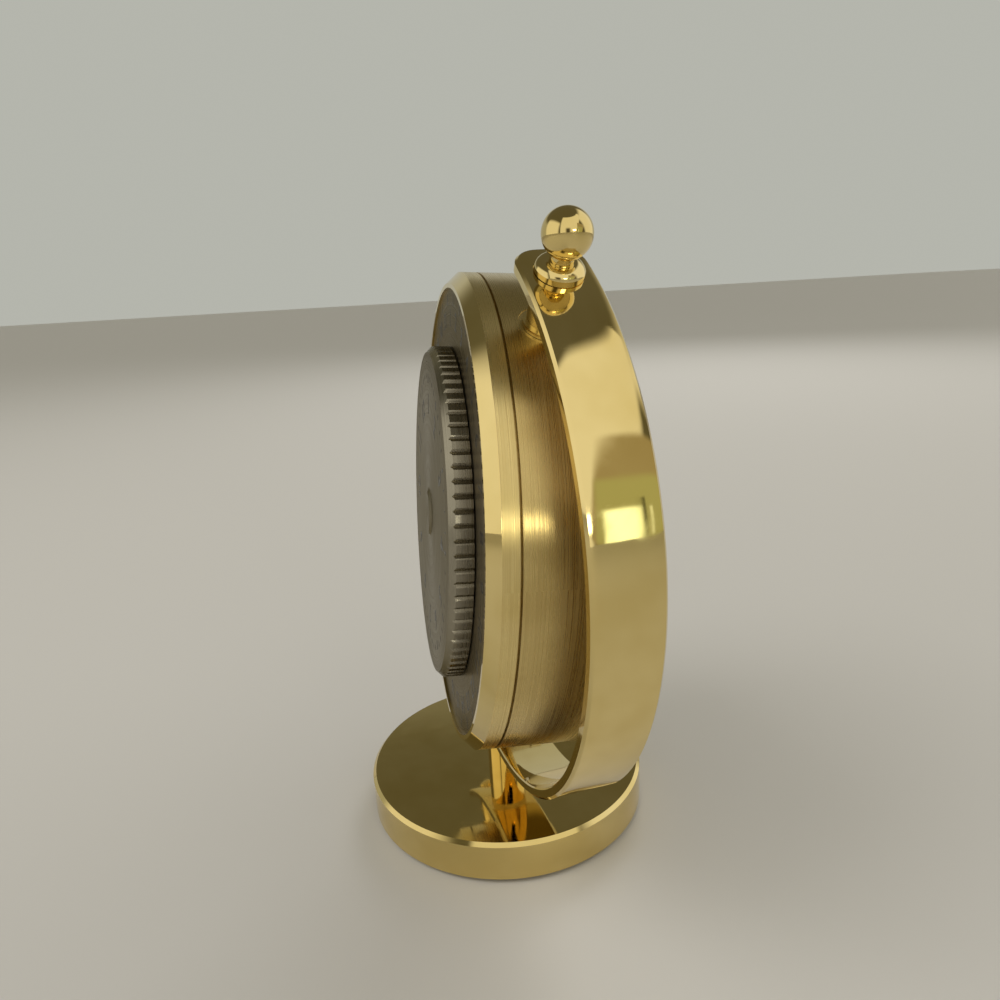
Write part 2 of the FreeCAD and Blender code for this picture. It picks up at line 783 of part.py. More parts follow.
def make_hour_train():
    cannon_phase = 0.0
    motion_phase = meshing_phase(cannon_teeth, cannon_phase, (0, 0), motion_teeth, motion_at)
    pinion_phase = 10.0
    hour_phase = meshing_phase(motion_pinion_teeth, pinion_phase, motion_at, hour_teeth, (0, 0))
    slow_module = mean_module(motion_distance, motion_pinion_teeth, hour_teeth)

    hour_bore = minute_radius + arbor_clearance
    hour_top = hour_plane + wheel_thickness
    wheel = gear(hour_teeth, slow_module, hour_phase, hour_plane, hour_top)
    neck = rod(hour_radius, hour_plane, hour_hand_low + hand_thickness)
    bore = rod(hour_bore, hour_plane - 1, hour_hand_low + 2)
    add_head("hour_wheel", wheel.fuse(neck).cut(bore))

    motion_top = motion_plane + wheel_thickness
    wheel = gear(motion_teeth, motion_module, motion_phase, motion_plane, motion_top, motion_at)
    pinion = gear(motion_pinion_teeth, slow_module, pinion_phase, motion_plane, hour_top, motion_at)
    knob_high = movement_rear - knob_gap
    arbor = rod(arbor_radius, knob_high, arbor_high, *motion_at)
    add_head("motion_wheel", fuse_all([wheel, pinion, arbor]))

    cannon_low = motion_plane - end_play
    cannon = gear(cannon_teeth, motion_module, cannon_phase, cannon_low, motion_plane + pinion_length)
    barrel = rod(minute_radius, centre_plane - blind_depth, minute_hand_low + hand_thickness)
    bore = rod(second_radius + arbor_clearance, centre_plane - 1, minute_hand_low + 2)
    add_head("minute_arbor", cannon.fuse(barrel).cut(bore))

    knob = coin_edge(knob_diameter / 2, knob_rib_depth, knob_rib_count, knob_high - knob_length, knob_high)
    knob.translate(V(*motion_at, 0))
    add_head("setting_knob", knob)


def make_second_train():
    pinion_phase = 0.0
    third_phase = meshing_phase(second_pinion_teeth, pinion_phase, (0, 0), third_teeth, third_at)
    leaf_phase = 4.0
    centre_phase = meshing_phase(third_pinion_teeth, leaf_phase, third_at, centre_teeth, (0, 0))
    slow_module = mean_module(third_distance, third_pinion_teeth, centre_teeth)
    wheel_phase = 0.0
    step_leaf_phase = meshing_phase(second_teeth, wheel_phase, (0, 0), step_pinion_teeth, step_at)
    step_phase = 3.0
    rotor_phase = meshing_phase(step_teeth, step_phase, step_at, rotor_pinion_teeth, rotor_at)

    wheel = gear(centre_teeth, slow_module, centre_phase, centre_plane, centre_plane + wheel_thickness)
    bore = rod(minute_radius + arbor_clearance, centre_plane - 1, centre_plane + 2)
    add_head("centre_wheel", wheel.cut(bore))

    third_top = third_plane + wheel_thickness
    wheel = gear(third_teeth, train_module, third_phase, third_plane, third_top, third_at)
    leaf_top = centre_plane + pinion_length
    leaves = gear(third_pinion_teeth, slow_module, leaf_phase, third_plane, leaf_top, third_at)
    arbor = rod(arbor_radius, arbor_low, arbor_high, *third_at)
    add_head("third_wheel", fuse_all([wheel, leaves, arbor]))

    second_top = second_plane + wheel_thickness
    wheel = gear(second_teeth, train_module, wheel_phase, second_plane, second_top)
    leaf_top = third_plane + pinion_length
    leaves = gear(second_pinion_teeth, train_module, pinion_phase, second_plane, leaf_top)
    arbor = rod(second_radius, arbor_low, second_hand_low + hand_thickness)
    add_head("second_wheel", fuse_all([wheel, leaves, arbor]))

    step_top = step_plane + wheel_thickness
    wheel = gear(step_teeth, train_module, step_phase, step_plane, step_top, step_at)
    leaf_top = second_plane + pinion_length
    leaves = gear(step_pinion_teeth, train_module, step_leaf_phase, step_plane, leaf_top, step_at)
    bore = rod(arbor_radius, step_plane - 1, leaf_top + 1, *step_at)
    add_head("step_wheel", wheel.fuse(leaves).cut(bore))

    magnet_low = step_plane + pinion_length
    magnet_high = magnet_low + rotor_length
    leaf_low = step_plane - end_play
    leaves = gear(rotor_pinion_teeth, train_module, rotor_phase, leaf_low, magnet_low, rotor_at)
    magnet = rod(rotor_radius, magnet_low, magnet_high, *rotor_at)
    arbor = rod(rotor_pivot, arbor_low, magnet_high + rotor_tip, *rotor_at)
    add_head("rotor", fuse_all([leaves, magnet, arbor]))


# Hands
hour_hand_low = tube_top + hand_gap / 2
minute_hand_low = hour_hand_low + hand_thickness + hand_gap
second_hand_low = minute_hand_low + hand_thickness + hand_gap


def baton_hand(length, width, tail, bore, low, clock_degrees):
    """Tapered hand on a round hub, set to an angle counted clockwise from twelve."""
    half = width / 2
    tip = half * hand_tip_share
    shoulder = length * hand_shoulder
    points = [
        (-half, -tail), (half, -tail), (half, shoulder), (tip, length), (-tip, length), (-half, shoulder),
    ]
    high = low + hand_thickness
    body = prism(points, low, high).fuse(rod(bore + hand_hub_wall, low, high))
    body = body.cut(rod(bore, low - 1, high + 1))
    body.rotate(V(0, 0, 0), V(0, 0, 1), -clock_degrees)
    return body


def make_hands():
    hour = (hour_hand_length, hour_hand_width, hour_hand_tail, hour_radius)
    minute = (minute_hand_length, minute_hand_width, minute_hand_tail, minute_radius)
    second = (second_hand_length, second_hand_width, second_hand_tail, second_radius)
    add_head("hour_hand", baton_hand(*hour, hour_hand_low, hour_at_rest))
    add_head("minute_hand", baton_hand(*minute, minute_hand_low, minute_at_rest))
    add_head("second_hand", baton_hand(*second, second_hand_low, second_at_rest))


# Electrical pieces
stator_low = second_plane + wheel_thickness + stator_lift
coil_at = (0.0, rotor_at[1] - coil_drop)


def make_drive():
    """Stator plate round the rotor, with the coil on its long leg."""
    x, y = rotor_at
    cx, cy = coil_at
    high = stator_low + stator_thickness
    ring_plate = rod(rotor_radius + stator_ring_width, stator_low, high, x, y)
    leg = slot(stator_leg_width / 2, y - cy, stator_low, high, x, (y + cy) / 2)
    gap = rod(rotor_radius + rotor_air_gap, stator_low - 1, high + 1, x, y)
    core = slot(coil_length / 2, 2 * core_half, stator_low, high, cx, cy)
    add_head("stator", ring_plate.fuse(leg).cut(gap).fuse(core).removeSplitter())
    low = x + coil_start
    far = cx + coil_length / 2 - coil_cheek
    middle = stator_low + stator_thickness / 2
    winding = Part.makeCylinder(coil_radius, far - low, V(low, cy, middle), V(1, 0, 0))
    add_head("coil", winding.cut(core))


def make_board():
    high = centre_plane - board_gap
    low = high - board_thickness
    corner = V(-board_left, -board_low, low)
    board = Part.makeBox(board_width, board_length, board_thickness, corner)
    board = board.common(rod(movement_radius - movement_wall - board_edge, low - 1, high + 1))
    keep_out = rod(arbor_radius + arbor_diameter, low - 1, high + 1, *motion_at)
    add_head("circuit_board", board.cut(keep_out))
    chip_corner = corner + V(chip_side, chip_side, -chip_height)
    add_head("clock_chip", Part.makeBox(chip_side, chip_side, chip_height, chip_corner))
    crystal_foot = corner + V(board_width - 2 * chip_side / 3, chip_side, -crystal_radius)
    add_head("quartz_crystal", Part.makeCylinder(crystal_radius, crystal_length, crystal_foot, V(0, 1, 0)))


def make_battery():
    x, y = battery_at
    low = movement_rear + battery_lift
    high = low + battery_height
    radius = battery_diameter / 2
    can_top = low + battery_height * battery_can_share
    step = radius * battery_step_share
    cell = turned([(0, low), (radius, low), (radius, can_top), (step, can_top), (step, high), (0, high)])
    cell.translate(V(x, y, 0))
    add_head("battery", cell)
    strip_low = high + contact_gap
    strip = Part.makeBox(contact_width, 2 * contact_reach * radius, contact_thickness,
                         V(x - contact_width / 2, y - contact_reach * radius, strip_low))
    room = rod(movement_radius - movement_wall - board_edge, high, strip_low + 1)
    add_head("battery_contact", strip.common(room))
    cap_low = movement_rear - cap_depth
    cap = rod(radius + cap_overhang, cap_low, movement_rear, x, y)
    cut = slot(radius * contact_reach / 2, cap_slot_width, cap_low - 1, cap_low + cap_slot_depth, x, y)
    add_head("battery_cap", cap.cut(cut))


make_base()
make_stem()
make_arm()
make_finial()
make_lower_pivot()
make_pivot_stack()
make_case()
make_bezel_screws()
make_calendar_bezel()
make_calendar_plate()
make_calendar_disc()
make_clock_bezel()
make_insert_cup()
make_dial()
make_movement_case()
make_hour_train()
make_second_train()
make_hands()
make_drive()
make_board()
make_battery()

os.makedirs("parts", exist_ok=True)
for name, shape in nodes.items():
    solids = shape.Solids
    print(name, len(solids), shape.isValid(), round(shape.Volume, 2))
    shape.exportStep("parts/" + name + ".step")
print("head axis", head_place.Rotation.multVec(V(0, 0, 1)))
print("swivel axis", swivel_axis, "centre", arm_centre)
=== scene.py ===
import bpy
import bmesh
import json
import math
from mathutils import Matrix, Vector


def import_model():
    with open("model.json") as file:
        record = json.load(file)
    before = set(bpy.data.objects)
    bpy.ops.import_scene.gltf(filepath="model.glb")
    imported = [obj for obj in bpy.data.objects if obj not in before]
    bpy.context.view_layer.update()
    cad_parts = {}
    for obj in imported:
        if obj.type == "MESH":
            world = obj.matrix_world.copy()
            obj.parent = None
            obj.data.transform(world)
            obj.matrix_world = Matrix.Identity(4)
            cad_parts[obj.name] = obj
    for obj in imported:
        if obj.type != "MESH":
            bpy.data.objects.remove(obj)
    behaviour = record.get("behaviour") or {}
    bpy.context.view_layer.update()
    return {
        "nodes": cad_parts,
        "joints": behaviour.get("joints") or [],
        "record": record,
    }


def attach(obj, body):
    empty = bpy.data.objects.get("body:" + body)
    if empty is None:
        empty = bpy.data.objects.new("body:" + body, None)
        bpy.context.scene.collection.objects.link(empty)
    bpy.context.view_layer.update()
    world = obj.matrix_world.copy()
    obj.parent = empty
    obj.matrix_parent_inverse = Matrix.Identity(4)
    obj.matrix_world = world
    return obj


# Brass desk clock: finishes, printed marks, studio and camera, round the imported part.

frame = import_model()
nodes = frame["nodes"]
record = frame["record"]
joints = {j["name"]: j for j in frame["joints"]}

MM = 0.001

# The head's own frame, as the part's source has it: X to the right and Y up as the
# clock's dial is read, Z along the head's axis from the calendar to the clock.
swivel_axis = Vector(joints["head_swivel"]["axis"]).normalized()
head_axis = Vector(joints["calendar_turn"]["axis"]).normalized()
head_centre = Vector(joints["calendar_turn"]["pos_m"])
rest_swivel = math.radians(-7.0)
head_x = Matrix.Rotation(rest_swivel, 3, swivel_axis) @ Vector((-1, 0, 0))
head_y = head_axis.cross(head_x)
head_turn = Matrix((head_x, head_y, head_axis)).transposed()
head_place = Matrix.Translation(head_centre) @ head_turn.to_4x4()
calendar_place = head_place @ Matrix.Rotation(math.pi, 4, "Y")

# Sizes in millimetres from the part's source that the printed marks and the polish follow
plate_front = 9.9
disc_front = 13.4
dial_top = 5.4
rim_end = 8.6
arm_half_width = 4.75
print_lift = 0.012
print_depth = 0.010

# How far the buff has worn the arm's long edges, in metres
arm_roll_off = -0.00012


# Node graphs
class Graph:
    """The nodes of one material, or of the world."""

    def __init__(self, name, of_world=False):
        self.owner = (bpy.data.worlds if of_world else bpy.data.materials).new(name)
        self.owner.use_nodes = True
        self.tree = self.owner.node_tree
        self.tree.nodes.clear()
        self.output = self.add("ShaderNodeOutputWorld" if of_world else "ShaderNodeOutputMaterial")

    def add(self, kind, inputs=None, **settings):
        node = self.tree.nodes.new(kind)
        for key, value in settings.items():
            setattr(node, key, value)
        for key, value in (inputs or {}).items():
            self.feed(node.inputs[key], value)
        return node

    def feed(self, socket, value):
        if isinstance(value, bpy.types.NodeSocket):
            self.tree.links.new(value, socket)
        else:
            socket.default_value = value

    def math(self, operation, *values, clamp=False):
        node = self.add("ShaderNodeMath", operation=operation, use_clamp=clamp)
        for socket, value in zip(node.inputs, values):
            self.feed(socket, value)
        return node.outputs[0]

    def vector(self, operation, *values):
        node = self.add("ShaderNodeVectorMath", operation=operation)
        for socket, value in zip(node.inputs, values):
            self.feed(socket, value)
        return node.outputs["Value" if operation in ("LENGTH", "DOT_PRODUCT") else 0]

    def span(self, value, low, high, to_low=0.0, to_high=1.0, smooth=True):
        node = self.add("ShaderNodeMapRange", clamp=True)
        node.interpolation_type = "SMOOTHSTEP" if smooth else "LINEAR"
        for socket, item in zip(node.inputs, (value, low, high, to_low, to_high)):
            self.feed(socket, item)
        return node.outputs[0]

    def noise(self, vector, scale, detail=3.0, rough=0.55, distortion=0.0):
        node = self.add("ShaderNodeTexNoise", {
            "Vector": vector, "Scale": scale, "Detail": detail,
            "Roughness": rough, "Distortion": distortion})
        return node.outputs["Fac"]

    def mix(self, share, first, second):
        node = self.add("ShaderNodeMix", data_type="RGBA")
        self.feed(node.inputs[0], share)
        self.feed(node.inputs[6], first)
        self.feed(node.inputs[7], second)
        return node.outputs[2]

    def combine(self, x, y, z):
        return self.add("ShaderNodeCombineXYZ", {"X": x, "Y": y, "Z": z}).outputs[0]

    def place(self):
        return self.add("ShaderNodeTexCoord").outputs["Object"]

    def head_coordinates(self):
        return self.add("ShaderNodeMapping", {
            "Vector": self.place(), "Location": head_centre,
            "Rotation": head_turn.to_euler(), "Scale": (MM, MM, MM)},
            vector_type="TEXTURE").outputs[0]

    def stand_coordinates(self):
        return self.add("ShaderNodeMapping", {
            "Vector": self.place(), "Scale": (MM, MM, MM)}, vector_type="TEXTURE").outputs[0]

    def round_axis(self, vector):
        """Radius, height and angle about the Z axis of these coordinates."""
        parts = self.add("ShaderNodeSeparateXYZ", {"Vector": vector})
        x, y, height = parts.outputs
        squares = self.math("ADD", self.math("MULTIPLY", x, x), self.math("MULTIPLY", y, y))
        return self.math("SQRT", squares), height, self.math("ARCTAN2", y, x)

    def bump(self, height, distance, strength=1.0, normal=None):
        node = self.add("ShaderNodeBump", {"Height": height, "Distance": distance, "Strength": strength})
        if normal is not None:
            self.feed(node.inputs["Normal"], normal)
        return node.outputs[0]

    def surface(self, **inputs):
        node = self.add("ShaderNodeBsdfPrincipled")
        for key, value in inputs.items():
            self.feed(node.inputs[key.replace("_", " ")], value)
        self.feed(self.output.inputs["Surface"], node.outputs[0])
        return self.owner


def rgb(red, green, blue):
    return (red, green, blue, 1.0)


def brass_colour(g, where, bright=rgb(0.80, 0.64, 0.29), deep=rgb(0.70, 0.54, 0.21)):
    """Lacquered brass: a slow drift in tone and small tarnish spots."""
    drift = g.noise(where, 0.06, 3.0, 0.6)
    spots = g.span(g.noise(where, 0.9, 5.0, 0.7), 0.66, 0.80)
    base = g.mix(g.span(drift, 0.35, 0.70), bright, deep)
    return g.mix(g.math("MULTIPLY", spots, 0.25), base, rgb(0.42, 0.27, 0.10))


def handling(g, where, low, high):
    """Roughness of a handled polish: faint smears and finger marks over a clean level."""
    smears = g.noise(where, 0.11, 4.0, 0.65, 1.2)
    dust = g.noise(where, 5.0, 2.0, 0.5)
    specks = g.math("MULTIPLY", g.span(dust, 0.62, 0.75), 0.35)
    share = g.math("ADD", g.span(smears, 0.45, 0.75), specks, clamp=True)
    return g.span(share, 0.0, 1.0, low, high, smooth=False)


def polished(name, head=False, low=0.04, high=0.11, crown=False, **tones):
    """Buffed brass. A crowned piece is rolled off a little towards its long edges."""
    g = Graph(name)
    where = g.head_coordinates() if head else g.stand_coordinates()
    waves = g.noise(where, 0.16, 2.0, 0.4)
    scratches = g.noise(g.vector("MULTIPLY", where, (9.0, 0.5, 0.5)), 1.4, 3.0, 0.6)
    normal = g.bump(waves, 0.00004, 0.35)
    if crown:
        across = g.math("ABSOLUTE", g.add("ShaderNodeSeparateXYZ", {"Vector": where}).outputs["Y"])
        roll_off = g.math("POWER", g.math("DIVIDE", across, arm_half_width), 6.0)
        normal = g.bump(roll_off, arm_roll_off, 1.0, normal)
    normal = g.bump(g.span(scratches, 0.62, 0.75), 0.0000012, 0.30, normal)
    return g.surface(Base_Color=brass_colour(g, where, **tones), Metallic=1.0,
                     Roughness=handling(g, where, low, high), Normal=normal)


def lathe_lines(g, radius, height, angle, pitch=0.11):
    """Fine turned lines: they vary across the cut and hardly at all round the axis."""
    round_share = g.math("MULTIPLY", angle, 0.12)
    fine = g.noise(g.combine(radius, height, round_share), 1.0 / pitch, 2.0, 0.6)
    broad = g.noise(g.combine(radius, height, g.math("MULTIPLY", angle, 0.1)), 2.2, 2.0, 0.6)
    return g.math("ADD", g.math("MULTIPLY", fine, 0.8), g.math("MULTIPLY", broad, 0.2))


def turned_tangent(g, axis):
    """Direction round the axis, for stretched highlights."""
    place = g.add("ShaderNodeVectorMath", operation="SUBTRACT")
    g.feed(place.inputs[0], g.place())
    g.feed(place.inputs[1], head_centre)
    across = g.vector("CROSS_PRODUCT", tuple(axis), place.outputs[0])
    turn = g.add("ShaderNodeVectorTransform", vector_type="VECTOR",
                 convert_from="OBJECT", convert_to="WORLD")
    g.feed(turn.inputs[0], across)
    return g.vector("NORMALIZE", turn.outputs[0])


def brushed(name, bright, deep, low=0.22, high=0.34):
    """Brass brushed round the head's axis."""
    g = Graph(name)
    where = g.head_coordinates()
    radius, height, angle = g.round_axis(where)
    lines = lathe_lines(g, radius, height, angle)
    tone = brass_colour(g, where, bright=bright, deep=deep)
    tone = g.mix(g.span(lines, 0.40, 0.62, 0.0, 0.28), tone, deep)
    return g.surface(Base_Color=tone, Metallic=1.0, Roughness=g.span(lines, 0.35, 0.65, low, high),
                     Anisotropic=0.9, Anisotropic_Rotation=0.25, Tangent=turned_tangent(g, head_axis),
                     Normal=g.bump(lines, 0.0000012, 0.8))


def bezel(name):
    """Brushed rim with a mirror-cut chamfer and a polished lip."""
    g = Graph(name)
    where = g.head_coordinates()
    radius, height, angle = g.round_axis(where)
    lines = lathe_lines(g, radius, height, angle)
    brush = g.span(g.math("ABSOLUTE", height), rim_end, rim_end + 0.06, 1.0, 0.0)
    tone = brass_colour(g, where)
    shade = g.math("MULTIPLY", g.span(lines, 0.40, 0.62, 0.0, 0.28), brush)
    tone = g.mix(shade, tone, rgb(0.60, 0.44, 0.17))
    level = g.add("ShaderNodeMix", data_type="FLOAT")
    g.feed(level.inputs[0], brush)
    g.feed(level.inputs[2], handling(g, where, 0.03, 0.09))
    g.feed(level.inputs[3], g.span(lines, 0.35, 0.65, 0.26, 0.40))
    depth = g.math("MULTIPLY", brush, lines)
    return g.surface(Base_Color=tone, Metallic=1.0, Roughness=level.outputs[0],
                     Anisotropic=0.85, Anisotropic_Rotation=0.25, Tangent=turned_tangent(g, head_axis),
                     Normal=g.bump(depth, 0.0000015, 0.8))


def silvered(name, bright, deep, low, high):
    """Satin silvering with a round grain and light handling marks."""
    g = Graph(name)
    where = g.head_coordinates()
    radius, height, angle = g.round_axis(where)
    lines = lathe_lines(g, radius, height, angle, 0.14)
    cloud = g.span(g.noise(where, 0.10, 4.0, 0.6), 0.35, 0.70)
    tone = g.mix(cloud, bright, deep)
    tone = g.mix(g.span(lines, 0.42, 0.60, 0.0, 0.22), tone, deep)
    return g.surface(Base_Color=tone, Metallic=1.0, Roughness=g.span(lines, 0.35, 0.65, low, high),
                     Specular_Tint=rgb(0.40, 0.37, 0.30), Anisotropic=0.6, Anisotropic_Rotation=0.25,
                     Tangent=turned_tangent(g, head_axis), Normal=g.bump(lines, 0.000001, 0.7))


def plain_metal(name, bright, deep, low, high):
    g = Graph(name)
    where = g.stand_coordinates()
    cloud = g.noise(where, 0.35, 4.0, 0.6)
    grain = g.noise(g.vector("MULTIPLY", where, (1.0, 1.0, 6.0)), 3.6, 3.0, 0.6)
    return g.surface(Base_Color=g.mix(g.span(cloud, 0.35, 0.70), bright, deep), Metallic=1.0,
                     Roughness=g.span(grain, 0.35, 0.65, low, high), Normal=g.bump(grain, 0.000003, 0.5))


def moulded(name, bright, deep, low, high, grain=0.00001, grain_scale=6.0, **more):
    """Paint, plastic or rubber: fine surface grain, small shifts in tone and gloss."""
    g = Graph(name)
    where = g.stand_coordinates()
    cloud = g.noise(where, 0.25, 4.0, 0.6)
    speck = g.noise(where, grain_scale, 3.0, 0.6)
    return g.surface(Base_Color=g.mix(g.span(cloud, 0.30, 0.72), bright, deep),
                     Roughness=g.span(speck, 0.30, 0.70, low, high),
                     Normal=g.bump(speck, grain, 0.6), **more)


def clear_glass(name):
    g = Graph(name)
    where = g.head_coordinates()
    return g.surface(Base_Color=rgb(0.97, 0.99, 0.985), Roughness=g.span(
        g.noise(where, 0.12, 4.0, 0.65, 1.0), 0.5, 0.8, 0.005, 0.035),
        IOR=1.5, Transmission_Weight=1.0)


def winding(name):
    g = Graph(name)
    where = g.head_coordinates()
    turns = g.add("ShaderNodeTexWave", {"Vector": where, "Scale": 2.2, "Distortion": 0.6,
                                        "Detail": 2.0}, bands_direction="X").outputs["Fac"]
    tone = g.mix(turns, rgb(0.42, 0.16, 0.05), rgb(0.75, 0.36, 0.16))
    return g.surface(Base_Color=tone, Metallic=0.8, Roughness=g.span(turns, 0.0, 1.0, 0.40, 0.22),
                     Normal=g.bump(turns, 0.00004, 0.6), Coat_Weight=0.4)


def board_face(name):
    g = Graph(name)
    where = g.head_coordinates()
    tracks = g.add("ShaderNodeTexBrick", {
        "Vector": where, "Scale": 0.55, "Color1": rgb(0.03, 0.15, 0.06), "Color2": rgb(0.04, 0.18, 0.07),
        "Mortar": rgb(0.10, 0.30, 0.12), "Mortar Size": 0.05}).outputs["Color"]
    speck = g.noise(where, 4.0, 3.0, 0.6)
    return g.surface(Base_Color=tracks, Roughness=g.span(speck, 0.3, 0.7, 0.28, 0.42),
                     Normal=g.bump(speck, 0.00001, 0.5), Coat_Weight=0.3)


finishes = {
    "polished_brass": polished("polished_brass"),
    # Painted shade: brushed brass is a darker copy of the polished brass, dimmed to stand in for the dim
    # room its rim reflects
    "brushed_brass": brushed("brushed_brass", rgb(0.66, 0.51, 0.22), rgb(0.54, 0.40, 0.155)),
    "bezel_brass": bezel("bezel_brass"),
    "bearing_brass": polished("bearing_brass", head=True, low=0.16, high=0.26),
    "steel": plain_metal("steel", rgb(0.64, 0.64, 0.65), rgb(0.50, 0.50, 0.51), 0.20, 0.34),
    "cup_steel": plain_metal("cup_steel", rgb(0.60, 0.60, 0.60), rgb(0.48, 0.48, 0.49), 0.30, 0.45),
    "battery_steel": plain_metal("battery_steel", rgb(0.74, 0.74, 0.74), rgb(0.62, 0.62, 0.62), 0.14, 0.26),
    # Painted shade: these silvered tones are far darker than bare silvering, standing in for the dim
    # reflections on the plate, disc and face
    "silvered_plate": silvered("silvered_plate", rgb(0.36, 0.31, 0.23), rgb(0.30, 0.26, 0.19), 0.26, 0.36),
    "silvered_disc": silvered("silvered_disc", rgb(0.34, 0.31, 0.24), rgb(0.27, 0.245, 0.19), 0.20, 0.30),
    "silvered_face": silvered("silvered_face", rgb(0.33, 0.30, 0.23), rgb(0.28, 0.255, 0.195), 0.18, 0.27),
    "glass": clear_glass("glass"),
    "gasket": moulded("gasket", rgb(0.035, 0.035, 0.035), rgb(0.05, 0.05, 0.05), 0.5, 0.7),
    "pad": moulded("pad", rgb(0.028, 0.032, 0.028), rgb(0.05, 0.055, 0.048), 0.85, 1.0, 0.00006, 3.0),
    "dial_paint": moulded("dial_paint", rgb(0.86, 0.84, 0.77), rgb(0.80, 0.77, 0.69),
                          0.38, 0.5, 0.000004, 9.0),
    "hand_black": moulded("hand_black", rgb(0.012, 0.012, 0.012), rgb(0.022, 0.022, 0.023),
                          0.22, 0.34, 0.000003),
    "movement_plastic": moulded("movement_plastic", rgb(0.035, 0.035, 0.038),
                                rgb(0.055, 0.055, 0.058), 0.38, 0.55),
    "wheel_plastic": moulded("wheel_plastic", rgb(0.84, 0.82, 0.76), rgb(0.76, 0.74, 0.67), 0.35, 0.5),
    "magnet": plain_metal("magnet", rgb(0.20, 0.20, 0.21), rgb(0.13, 0.13, 0.135), 0.35, 0.55),
    "copper_wire": winding("copper_wire"),
    "board": board_face("board"),
    "chip": moulded("chip", rgb(0.012, 0.012, 0.012), rgb(0.02, 0.02, 0.02), 0.35, 0.5),
}
slot_of = {part["node"]: part["material_slot"] for part in record["subparts"]}
special = {"arm": polished("polished_arm", crown=True)}
for name, piece in nodes.items():
    piece.data.materials.clear()
    piece.data.materials.append(special.get(name, finishes[slot_of[name]]))

ink = moulded("print_black", rgb(0.012, 0.012, 0.013), rgb(0.02, 0.02, 0.02), 0.3, 0.42, 0.000002)


# Printed marks
def glyphs(texts, size):
    """One mesh of short texts, each (text, x, y, turn), centred on its point, in millimetres."""
    whole = bmesh.new()
    for text, x, y, turn in texts:
        curve = bpy.data.curves.new("glyph", "FONT")
        curve.body = text
        curve.size = size
        curve.align_x = "CENTER"
        curve.align_y = "CENTER"
        curve.resolution_u = 6
        curve.extrude = print_depth / 2
        holder = bpy.data.objects.new("glyph", curve)
        bpy.context.scene.collection.objects.link(holder)
        bpy.context.view_layer.update()
        mesh = bpy.data.meshes.new_from_object(holder)
        mesh.transform(Matrix.Translation((x, y, 0)) @ Matrix.Rotation(turn, 4, "Z"))
        whole.from_mesh(mesh)
        bpy.data.objects.remove(holder)
        bpy.data.curves.remove(curve)
        bpy.data.meshes.remove(mesh)
    return whole


def bar(whole, inner, outer, width, angle):
    """A printed radial stroke, in millimetres."""
    turn = Matrix.Rotation(angle, 3, "Z")
    corners = [(inner, -width / 2), (outer, -width / 2), (outer, width / 2), (inner, width / 2)]
    points = [whole.verts.new(turn @ Vector((x, y, z)))
              for z in (-print_depth / 2, print_depth / 2) for x, y in corners]
    whole.faces.new(points[3::-1])
    whole.faces.new(points[4:])
    for i in range(4):
        j = (i + 1) % 4
        whole.faces.new([points[i], points[j], points[j + 4], points[i + 4]])


def printed(name, whole, height, place, body):
    """Lay a mesh of marks, in millimetres, on the face at this height and let it ride there."""
    mesh = bpy.data.meshes.new(name)
    whole.to_mesh(mesh)
    whole.free()
    mesh.transform(Matrix.Translation((0, 0, height + print_lift)))
    mesh.transform(Matrix.Scale(MM, 4))
    mesh.transform(place)
    mesh.materials.append(ink)
    piece = bpy.data.objects.new(name, mesh)
    bpy.context.scene.collection.objects.link(piece)
    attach(piece, body)


def ring_point(radius, share):
    """Place and angle of a point this share of a turn clockwise from twelve."""
    angle = math.pi / 2 - 2 * math.pi * share
    return radius * math.cos(angle), radius * math.sin(angle), angle


def number_ring(count, first, radius, size, upright=False):
    """The numbers from 1 up round a ring; first is the place of 1, in steps from twelve."""
    numbers = []
    for number in range(1, count + 1):
        x, y, angle = ring_point(radius, (number - 1 + first) / count)
        numbers.append((str(number), x, y, 0.0 if upright else angle - math.pi / 2))
    return glyphs(numbers, size)


def tick_ring(count, first, every, long_tick, short_tick):
    """Radial strokes (inner, outer, width) round a ring, with a long one at every so many."""
    whole = bmesh.new()
    for step in range(count):
        tick = short_tick if step % every else long_tick
        bar(whole, *tick, ring_point(1, (step + first) / count)[2])
    return whole


# Radii, letter sizes and widths in millimetres
hour_numerals = number_ring(12, 1, 22.2, 5.6, upright=True)
minute_ticks = tick_ring(60, 0, 5, (26.2, 28.2, 0.7), (27.0, 28.2, 0.25))
printed("dial_numerals", hour_numerals, dial_top, head_place, "insert")
printed("dial_ticks", minute_ticks, dial_top, head_place, "insert")

day_numbers = number_ring(31, 0, 30.6, 3.8)
day_ticks = tick_ring(31, 0.5, 1, (32.6, 34.4, 0.3), None)
printed("ring_numbers", day_numbers, plate_front, calendar_place, "head")
printed("ring_ticks", day_ticks, plate_front, calendar_place, "head")

month_numbers = number_ring(12, 0, 17.4, 4.6)
quarter_ticks = tick_ring(48, 0, 4, (20.8, 22.2, 0.4), (21.4, 22.2, 0.2))
printed("disc_numbers", month_numbers, disc_front, calendar_place, "calendar")
printed("disc_ticks", quarter_ticks, disc_front, calendar_place, "calendar")


# Studio
def floor():
    """A plain pale table top."""
    g = Graph("floor")
    where = g.stand_coordinates()
    speck = g.noise(where, 0.5, 3.0, 0.6)
    table_top = g.surface(Base_Color=rgb(0.60, 0.58, 0.545), Roughness=0.6,
                          Normal=g.bump(speck, 0.00002, 0.2))
    mesh = bpy.data.meshes.new("floor")
    reach = 20.0
    corners = [(-reach, -reach, 0), (reach, -reach, 0), (reach, reach, 0), (-reach, reach, 0)]
    mesh.from_pydata(corners, [], [(0, 1, 2, 3)])
    piece = bpy.data.objects.new("floor", mesh)
    bpy.context.scene.collection.objects.link(piece)
    mesh.materials.append(table_top)


